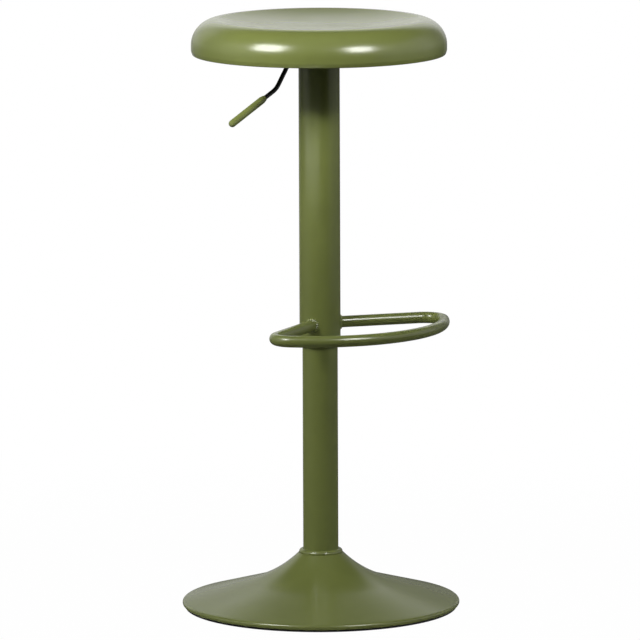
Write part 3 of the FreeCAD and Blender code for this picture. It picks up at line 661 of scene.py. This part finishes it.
def far_face(corners, wall):
    """The same corners moved one sheet thickness to the right of the way that the outline runs."""
    moved = []
    last = len(corners) - 1
    for number, corner in enumerate(corners):
        ways = []
        for start in (max(number, 1) - 1, min(number, last - 1)):
            ways.append((Vector(corners[start + 1][:2]) - Vector(corners[start][:2])).normalized())
        rights = [Vector((way.y, -way.x)) for way in ways]
        place = Vector(corner[:2]) + (rights[0] + rights[1]) * (wall / (1.0 + rights[0].dot(rights[1])))
        turns_left = ways[0].x * ways[1].y - ways[0].y * ways[1].x > 0.0
        bend = corner[2]
        if bend > 0.0:
            bend = bend + wall if turns_left else bend - wall
        moved.append((place.x, place.y, bend))
    return moved


def sheet_loop(corners, wall):
    """The closed outline of a bent sheet: its near face, and back along its far face."""
    return follow_bends(corners) + follow_bends(far_face(corners, wall))[::-1]


def solid_loop(corners):
    """The closed outline of a solid turned piece."""
    return follow_bends(corners + [corners[0]])[:-1]


print("the same bend as a sheet has", len(sheet_loop(trial_corners, sheet)), "points")

# %% [markdown]
# From outline to mesh.
# Each outline is spun into rings of four-sided faces, or three-sided where it meets the axis. Faces
# are smooth, and only edges that are sharp on the real piece are marked sharp, so the gloss runs
# over the bends without a crease.

# %% Spin an outline into a mesh
sharpest_smooth_edge = math.radians(32.0)
smallest_radius = 1e-6
shell_sides = 224
tube_sides = 128


def to_object(name, form, finish):
    """Turn a finished form into an object with a finish."""
    bmesh.ops.recalc_face_normals(form, faces=form.faces)
    for face in form.faces:
        face.smooth = True
    for edge in form.edges:
        edge.smooth = len(edge.link_faces) == 2 and edge.calc_face_angle(0.0) < sharpest_smooth_edge
    mesh = bpy.data.meshes.new(name)
    form.to_mesh(mesh)
    form.free()
    mesh.materials.append(finish)
    piece = bpy.data.objects.new(name, mesh)
    bpy.context.scene.collection.objects.link(piece)
    return piece


def stitch(form, rings, loop_back):
    """Join rings of vertices, each a list or a single tip, with faces."""
    pairs = list(zip(rings, rings[1:]))
    if loop_back:
        pairs.append((rings[-1], rings[0]))
    for near, far in pairs:
        count = max(len(near), len(far))
        if count == 1:
            continue
        for number in range(count):
            following = (number + 1) % count
            corners = [near[number % len(near)], far[number % len(far)]]
            if len(far) > 1:
                corners.append(far[following])
            if len(near) > 1:
                corners.append(near[following])
            form.faces.new(corners)


def spin(name, loop, finish, sides):
    """Turn a closed outline about the column's axis. Points on the axis become a single tip."""
    form = bmesh.new()
    rings = []
    for point in loop:
        if point.x < smallest_radius:
            rings.append([form.verts.new((0.0, 0.0, point.y))])
            continue
        ring = []
        for number in range(sides):
            turn = 2.0 * math.pi * number / sides
            ring.append(form.verts.new((point.x * math.cos(turn), point.x * math.sin(turn), point.y)))
        rings.append(ring)
    stitch(form, rings, len(rings[0]) > 1)
    return to_object(name, form, finish)


def dress(piece, body, *nodes):
    """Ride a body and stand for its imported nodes."""
    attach(piece, body)
    if nodes:
        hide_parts(*nodes)
    print(piece.name, "has", len(piece.data.polygons), "faces and rides on", body)


print("a spun shell has", shell_sides, "sides and a tube has", tube_sides)

# %% [markdown]
# The seat.
# One disc of sheet steel, spun over a former: a shallow dish to sit in, a soft crest round it, a
# deep round shoulder, and a lower edge that turns in and ends in a small hem under the seat. The
# dish is pale in the photograph only because it mirrors the white wall behind at a low angle.

# %% Spun seat
seat_low, seat_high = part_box("seat_shell")
seat_radius = seat_high.x
seat_top = seat_high.z
seat_foot = seat_low.z
dish_depth = 14.0 * mm
dish_radius = 95.0 * mm
dish_bend = 400.0 * mm
crest_radius = 148.0 * mm
crest_bend = 12.0 * mm
shoulder_bend = 38.0 * mm
tuck_height = 6.0 * mm
tuck_bend = 8.0 * mm
hem_inset = 1.9 * mm
hem_bend = 2.0 * mm
hem_width = 4.0 * mm

seat_face = [
    (0.0, seat_top - dish_depth, 0.0),
    (dish_radius, seat_top - dish_depth, dish_bend),
    (crest_radius, seat_top, crest_bend),
    (seat_radius, seat_top, shoulder_bend),
    (seat_radius, seat_foot + tuck_height, tuck_bend),
    (seat_radius - hem_inset, seat_foot, hem_bend),
    (seat_radius - hem_inset - hem_width, seat_foot, 0.0),
]
spun_seat = spin("spun_seat", sheet_loop(seat_face, sheet), olive_powder_coat,
                 shell_sides)
dress(spun_seat, "seat_column", "seat_shell")

# %% [markdown]
# The base.
# A trumpet spun from the same sheet. Its neck is steep, a long hollow curve leads down to a shallow
# cone, and the edge rolls under into a flat hem. The cone and the neck are straight in outline, and
# where their lines cross is worked out from their slopes.

# %% Spun trumpet base
base_low, base_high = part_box("base_shell")
base_radius = base_high.x
base_foot = base_low.z
neck_top = base_high.z
edge_roll = 4.0 * mm
base_hem = 15.0 * mm
neck_radius = 33.0 * mm
neck_bore = 26.4 * mm
neck_bend = 2.0 * mm
waist_bend = 175.0 * mm
neck_slope = math.radians(44.0)
cone_slope = math.radians(15.5)
neck_fall = math.tan(neck_slope)
cone_fall = math.tan(cone_slope)

edge_height = base_foot + edge_roll + edge_roll * math.tan(math.pi / 4 - cone_slope / 2)
whole_fall = neck_top - edge_height
waist_radius = (whole_fall + neck_fall * neck_radius - cone_fall * base_radius) / (neck_fall - cone_fall)
waist_height = neck_top - neck_fall * (waist_radius - neck_radius)
base_face = [
    (neck_bore, neck_top, 0.0),
    (neck_radius, neck_top, neck_bend),
    (waist_radius, waist_height, waist_bend),
    (base_radius, edge_height, edge_roll),
    (base_radius, base_foot, edge_roll),
    (base_radius - base_hem, base_foot, 0.0),
]
spun_base = spin("spun_base", sheet_loop(base_face, sheet), olive_powder_coat,
                 shell_sides)
dress(spun_base, "base", "base_shell")

# %% [markdown]
# The collar and the floor ring.
# A rounded ring hides the gap where the column leaves the base. Under the base's hem lies a strip
# of black rubber with a rib that centres it, and only its edge shows as a dark line on the floor.

# %% Collar and floor ring
collar_low, collar_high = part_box("base_collar")
collar_bore = 26.05 * mm
collar_crown = 4.6 * mm
collar_foot_round = 0.6 * mm
collar_bore_round = 0.3 * mm
collar_outline = [
    (collar_bore, collar_low.z, 0.0),
    (collar_high.x, collar_low.z, collar_foot_round),
    (collar_high.x, collar_high.z, collar_crown),
    (collar_bore, collar_high.z, collar_bore_round),
]
neck_collar = spin("neck_collar", solid_loop(collar_outline), olive_powder_coat,
                   tube_sides)
dress(neck_collar, "base", "base_collar")

ring_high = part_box("floor_ring")[1]
ring_outer = ring_high.x
ring_thickness = 3.0 * mm
rib_gap = 0.4 * mm
rib_width = 3.0 * mm
ring_inside_rib = 14.0 * mm
ring_foot_round = 0.8 * mm
ring_top_round = 0.5 * mm
rib_round = 0.6 * mm
rib_outer = base_radius - base_hem - rib_gap
rib_inner = rib_outer - rib_width
ring_inner = rib_inner - ring_inside_rib
ring_outline = [
    (ring_inner, 0.0, 0.0),
    (ring_outer, 0.0, ring_foot_round),
    (ring_outer, ring_thickness, ring_top_round),
    (rib_outer, ring_thickness, 0.0),
    (rib_outer, ring_high.z, rib_round),
    (rib_inner, ring_high.z, rib_round),
    (rib_inner, ring_thickness, 0.0),
    (ring_inner, ring_thickness, ring_top_round),
]
rubber_floor_ring = spin("rubber_floor_ring", solid_loop(ring_outline), moulded_rubber,
                         shell_sides)
dress(rubber_floor_ring, "base", "floor_ring")

# %% [markdown]
# The two tubes.
# The narrow column stands in the base. The wide sleeve hangs from the seat and slides over it, with
# a nylon ring pressed in its foot. Their cut ends are broken with a file, so each end has a small
# round that catches a thin line of light.

# %% Column and sleeve
column_wall = 1.5 * mm
column_end_round = 0.4 * mm
sleeve_wall = 1.2 * mm
sleeve_end_round = 0.3 * mm


def cut_tube(node, wall, edge_round):
    """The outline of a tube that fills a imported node's box, with softened cut ends."""
    low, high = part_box(node)
    bore = high.x - wall
    return solid_loop([
        (bore, low.z, 0.0),
        (high.x, low.z, edge_round),
        (high.x, high.z, edge_round),
        (bore, high.z, edge_round),
    ])


column = spin("column_tube_fine", cut_tube("column_tube", column_wall, column_end_round),
              olive_powder_coat, tube_sides)
dress(column, "base", "column_tube")
sleeve = spin("cover_sleeve_fine", cut_tube("cover_sleeve", sleeve_wall, sleeve_end_round),
              olive_powder_coat, tube_sides)
dress(sleeve, "seat_column", "cover_sleeve")

# %% [markdown]
# The footrest.
# One length of 17 mm tube: two straight arms, two tight corners and a long bowed front. Both arms
# are cut to the sleeve's round side before welding. The tube's path lies in one level plane, so a
# ring of points swept along it never twists, and the end rings are slid along the arms until they
# lie on the sleeve.

# %% Footrest's centre line
rest_low, rest_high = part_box("footrest_ring")
rest_height = (rest_low.z + rest_high.z) / 2
rest_tube = (rest_high.z - rest_low.z) / 2
rest_wall = 1.5 * mm
rest_reach = 178.0 * mm
rest_bow = 192.0 * mm
rest_corner = 28.0 * mm
rest_heading = math.radians(-48.2)
rest_half_spread = math.radians(66.0)
rest_arm_from = 36
rest_arm_pitch = 5


def arc_of(centre, radius, start, end):
    """Points and travel directions along an arc, from one heading to another."""
    steps = math.ceil(abs(end - start) / widest_turn) + math.ceil(radius * abs(end - start) / longest_run)
    stations = []
    for step in range(steps + 1):
        turn = start + (end - start) * step / steps
        out = Vector((math.cos(turn), math.sin(turn), 0.0))
        stations.append((centre + out * radius, UP.cross(out) * math.copysign(1.0, end - start)))
    return stations


def footrest_stations():
    """The tube's centre line, drawn about +X: a point and a direction at each station.

    The arms have a station at each pitch, in whole millimetres from the axis.
    """
    arm = Vector((math.cos(rest_half_spread), math.sin(rest_half_spread), 0.0))
    side = Vector((math.sin(rest_half_spread), -math.cos(rest_half_spread), 0.0))
    bow_centre = Vector((rest_reach - rest_bow, 0.0, 0.0))
    offset = side * rest_corner - bow_centre
    along = offset.dot(arm)
    arm_length = math.sqrt(along ** 2 - offset.dot(offset) + (rest_bow - rest_corner) ** 2) - along
    corner_centre = arm * arm_length + side * rest_corner
    corner_out = (corner_centre - bow_centre).normalized()
    bow_half = math.atan2(corner_out.y, corner_out.x)
    corner_start = math.atan2(-side.y, -side.x)
    reaches = range(rest_arm_from, math.floor(arm_length / mm), rest_arm_pitch)
    near_half = [(arm * reach * mm, arm) for reach in reaches]
    near_half += arc_of(corner_centre, rest_corner, corner_start, bow_half)
    front = arc_of(bow_centre, rest_bow, bow_half, -bow_half)[1:-1]
    far_half = []
    for point, way in reversed(near_half):
        far_half.append((Vector((point.x, -point.y, 0.0)), Vector((-way.x, way.y, 0.0))))
    return near_half + front + far_half


print("the footrest's line has", len(footrest_stations()), "stations")

# %% Bent footrest tube
rest_sides = 48
sleeve_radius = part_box("cover_sleeve")[1].x


def cope(point, way, radius):
    """Slide a point along a way, outward, until it is on an upright cylinder about the axis."""
    flat = Vector((point.x, point.y, 0.0))
    back = flat.dot(way)
    return point + way * (math.sqrt(back ** 2 - flat.dot(flat) + radius ** 2) - back)


def tube_ring(form, centre, way, radius, sides, coped):
    """A ring of points round a level tube. A coped ring lies on the sleeve's side."""
    across = UP.cross(way)
    ring = []
    for number in range(sides):
        turn = 2.0 * math.pi * number / sides
        point = centre + (across * math.cos(turn) + UP * math.sin(turn)) * radius
        if coped:
            outward = way if centre.dot(way) > 0.0 else -way
            point = cope(point, outward, sleeve_radius)
        ring.append(form.verts.new(point))
    return ring


def bent_footrest(sides):
    """The hollow tube: its outer skin out and its inner skin back, joined at both coped ends."""
    stations = footrest_stations()
    form = bmesh.new()
    rings = []
    for radius, route in ((rest_tube, stations), (rest_tube - rest_wall, stations[::-1])):
        for number, (centre, way) in enumerate(route):
            coped = number in (0, len(route) - 1)
            rings.append(tube_ring(form, centre, way, radius, sides, coped))
    stitch(form, rings, True)
    turn = Matrix.Translation(UP * rest_height) @ Matrix.Rotation(rest_heading, 4, "Z")
    bmesh.ops.transform(form, matrix=turn, verts=form.verts)
    return to_object("bent_footrest", form, olive_powder_coat)


footrest = bent_footrest(rest_sides)
dress(footrest, "seat_column", "footrest_ring")

# %% [markdown]
# The weld beads.
# Each arm is welded to the sleeve all round. A hand-laid bead is a row of small overlapping
# puddles, and paint softens it but does not hide it: in the photograph it glitters. The bead here
# follows the true seam of the two tubes, and its size swells and falls with each puddle.

# %% Lumpy weld beads
bead_leg = 3.4 * mm
bead_sunk = 0.4 * mm
bead_bulge = 0.22
bead_least = 0.86
puddle_swell = 0.16
hand_drift = 0.07
quick_drift = 2.1
slow_drift = 0.73
puddle_pitch = 2.6 * mm
puddle_count = round(2.0 * math.pi * rest_tube / puddle_pitch)
steps_per_puddle = 8
bead_profile_steps = 6


def seam_swell(number, phase):
    """How large the bead is at a step of the seam: a rounded puddle, and a slow drift of the hand."""
    along = number / steps_per_puddle
    puddle = abs(math.sin(math.pi * along))
    drift = (math.sin(quick_drift * along + phase) + math.sin(slow_drift * along + 2.0 * phase)) / 2
    return bead_least + puddle_swell * puddle + hand_drift * drift


def bead_ring(form, heading, number, count, phase):
    """The bead's cross-section at one step round the arm."""
    way = Vector((math.cos(heading), math.sin(heading), 0.0))
    across = UP.cross(way)
    turn = 2.0 * math.pi * number / count
    out = across * math.cos(turn) + UP * math.sin(turn)
    seam = cope(out * rest_tube, way, sleeve_radius)
    wall = Vector((seam.x, seam.y, 0.0)).normalized()
    up_wall = (out - wall * out.dot(wall)).normalized()
    leg = bead_leg * seam_swell(number, phase)
    on_wall = seam + up_wall * leg
    outward = Vector((on_wall.x, on_wall.y, 0.0)).normalized()
    on_wall = outward * (sleeve_radius - bead_sunk) + UP * on_wall.z
    on_arm = seam + way * leg - out * bead_sunk
    bulge = (up_wall + way).normalized() * leg * bead_bulge
    ring = []
    for step in range(bead_profile_steps + 1):
        share = step / bead_profile_steps
        ring.append(form.verts.new(on_wall.lerp(on_arm, share) + bulge * math.sin(math.pi * share)))
    ring.append(form.verts.new(seam - out * bead_sunk - wall * bead_sunk))
    return ring


def lay_weld_beads():
    """Both beads as one piece."""
    form = bmesh.new()
    count = puddle_count * steps_per_puddle
    for side in (-1.0, 1.0):
        heading = rest_heading + side * rest_half_spread
        rings = [bead_ring(form, heading, number, count, side) for number in range(count)]
        stitch(form, rings, True)
    bmesh.ops.translate(form, vec=UP * rest_height, verts=form.verts)
    return to_object("weld_beads", form, olive_powder_coat)


beads = lay_weld_beads()
dress(beads, "seat_column", "footrest_welds")

# %% [markdown]
# The release lever.
# A black rod runs level over the gas spring's button, bends steeply down out of the seat's hollow
# and out again at an easier slope, where its end wears a dipped grip. A short boss across the rod
# turns on the lever's pin. Rod and grip are rings of points along a line that lies in one upright
# plane, so one function makes both, with a radius at each station.

# %% Lever's line
lever_joint = next(joint for joint in frame["joints"] if joint["name"] == "lever_lift")
lever_way = Vector((-lever_joint["axis"][1], lever_joint["axis"][0], 0.0)).normalized()
lever_across = lever_way.cross(UP)
pivot = Vector(lever_joint["pos_m"])
shoulder_distance = 35.7 * mm
shoulder_rod_bend = 12.0 * mm
knee_distance = 85.2 * mm
knee_bend = 30.0 * mm
drop_slope = math.radians(55.0)
knee_height = pivot.z - (knee_distance - shoulder_distance) * math.tan(drop_slope)
grip_slope = math.radians(26.5)
grip_way = lever_way * math.cos(grip_slope) - UP * math.sin(grip_slope)
grip_reach = 177.0 * mm
grip_from = 108.5 * mm
grip_radius = 5.4 * mm


def on_lever(distance, height):
    """A point of the lever's plane: a distance from the column's axis and a height."""
    return lever_way * distance + UP * height


def on_grip(distance):
    """A point on the grip's middle line, at a distance from the column's axis."""
    return on_lever(distance, knee_height - (distance - knee_distance) * math.tan(grip_slope))


grip_start = on_grip(grip_from)
grip_end = on_grip(grip_reach)
grip_length = (grip_end - grip_start).length
print("the grip is", round(grip_length / mm, 1), "mm long")

# %% Bent lever rod
rod_radius = 3.3 * mm
rod_edge = 0.6 * mm
rod_past_axis = 4.0 * mm
rod_sides = 32
rod_end_turns = (0.0, 30.0, 60.0, 90.0)
grip_past_rod = grip_radius + 6.0 * mm


def round_bar(name, stations, across, sides, finish):
    """A closed bar of round section in one plane. A station is a centre, a radius and a way along."""
    form = bmesh.new()
    rings = []
    for centre, radius, way in stations:
        if radius < smallest_radius:
            rings.append([form.verts.new(centre)])
            continue
        rise = way.cross(across)
        ring = []
        for side in range(sides):
            turn = 2.0 * math.pi * side / sides
            spoke = across * math.cos(turn) + rise * math.sin(turn)
            ring.append(form.verts.new(centre + spoke * radius))
        rings.append(ring)
    stitch(form, rings, False)
    return to_object(name, form, finish)


def softened_ends(points, radius, edge):
    """Stations along points at one radius, with a small round and a tip at both ends."""
    ends = []
    for inner, outer in ((points[1], points[0]), (points[-2], points[-1])):
        out = (outer - inner).normalized()
        along = out if points[-1] == outer else -out
        end = [(outer, 0.0, along)]
        for turn in rod_end_turns:
            angle = math.radians(turn)
            centre = outer - out * edge * (1.0 - math.cos(angle))
            end.append((centre, radius - edge * (1.0 - math.sin(angle)), along))
        ends.append(end)
    middle = []
    for before, point, after in zip(points, points[1:], points[2:]):
        middle.append((point, radius, (after - before).normalized()))
    return ends[0] + middle + ends[1][::-1]


rod_end = grip_end - grip_way * grip_past_rod
rod_corners = [
    (-rod_past_axis, pivot.z, 0.0),
    (shoulder_distance, pivot.z, shoulder_rod_bend),
    (knee_distance, knee_height, knee_bend),
    (rod_end.dot(lever_way), rod_end.z, 0.0),
]
rod_points = [on_lever(point.x, point.y) for point in follow_bends(rod_corners)]
lever = round_bar("bent_lever_rod", softened_ends(rod_points, rod_radius, rod_edge), lever_across,
                  rod_sides, black_powder_coat)
dress(lever, "release_lever", "lever_rod")

# %% Boss on the pin
boss_bore = 2.58 * mm
boss_radius = 4.8 * mm
boss_half = 7.0 * mm
boss_bore_round = 0.3 * mm
boss_round = 0.4 * mm
boss_sides = 48
boss_outline = [
    (boss_bore, -boss_half, boss_bore_round),
    (boss_radius, -boss_half, boss_round),
    (boss_radius, boss_half, boss_round),
    (boss_bore, boss_half, boss_bore_round),
]
boss = spin("lever_boss", solid_loop(boss_outline), black_powder_coat, boss_sides)
lying_across = lever_across.to_track_quat("Z", "Y").to_matrix().to_4x4()
boss.data.transform(Matrix.Translation(pivot) @ lying_across)
dress(boss, "release_lever")

# %% Dipped grip
grip_mouth_gap = 0.05 * mm
grip_mouth_radius = 4.2 * mm
grip_mouth_round = 0.5 * mm
grip_taper = 6.0 * mm
# A hair less than the grip's radius, so that the arc ends just short of the middle line.
grip_tip_round = grip_radius * 0.999
grip_sides = 40
grip_outline = [
    (0.0, rod_radius + grip_mouth_gap, 0.0),
    (0.0, grip_mouth_radius, grip_mouth_round),
    (grip_taper, grip_radius, grip_taper),
    (grip_length, grip_radius, grip_tip_round),
    (grip_length, 0.0, 0.0),
]
grip_stations = [(grip_start, 0.0, grip_way)]
for point in follow_bends(grip_outline):
    grip_stations.append((grip_start + grip_way * point.x, point.y, grip_way))
grip = round_bar("vinyl_grip", grip_stations, lever_across, grip_sides, dipped_vinyl)
dress(grip, "release_lever", "lever_grip")
dull_pieces.objects.link(grip)
dull_pieces.collection_objects[0].light_linking.link_state = "EXCLUDE"
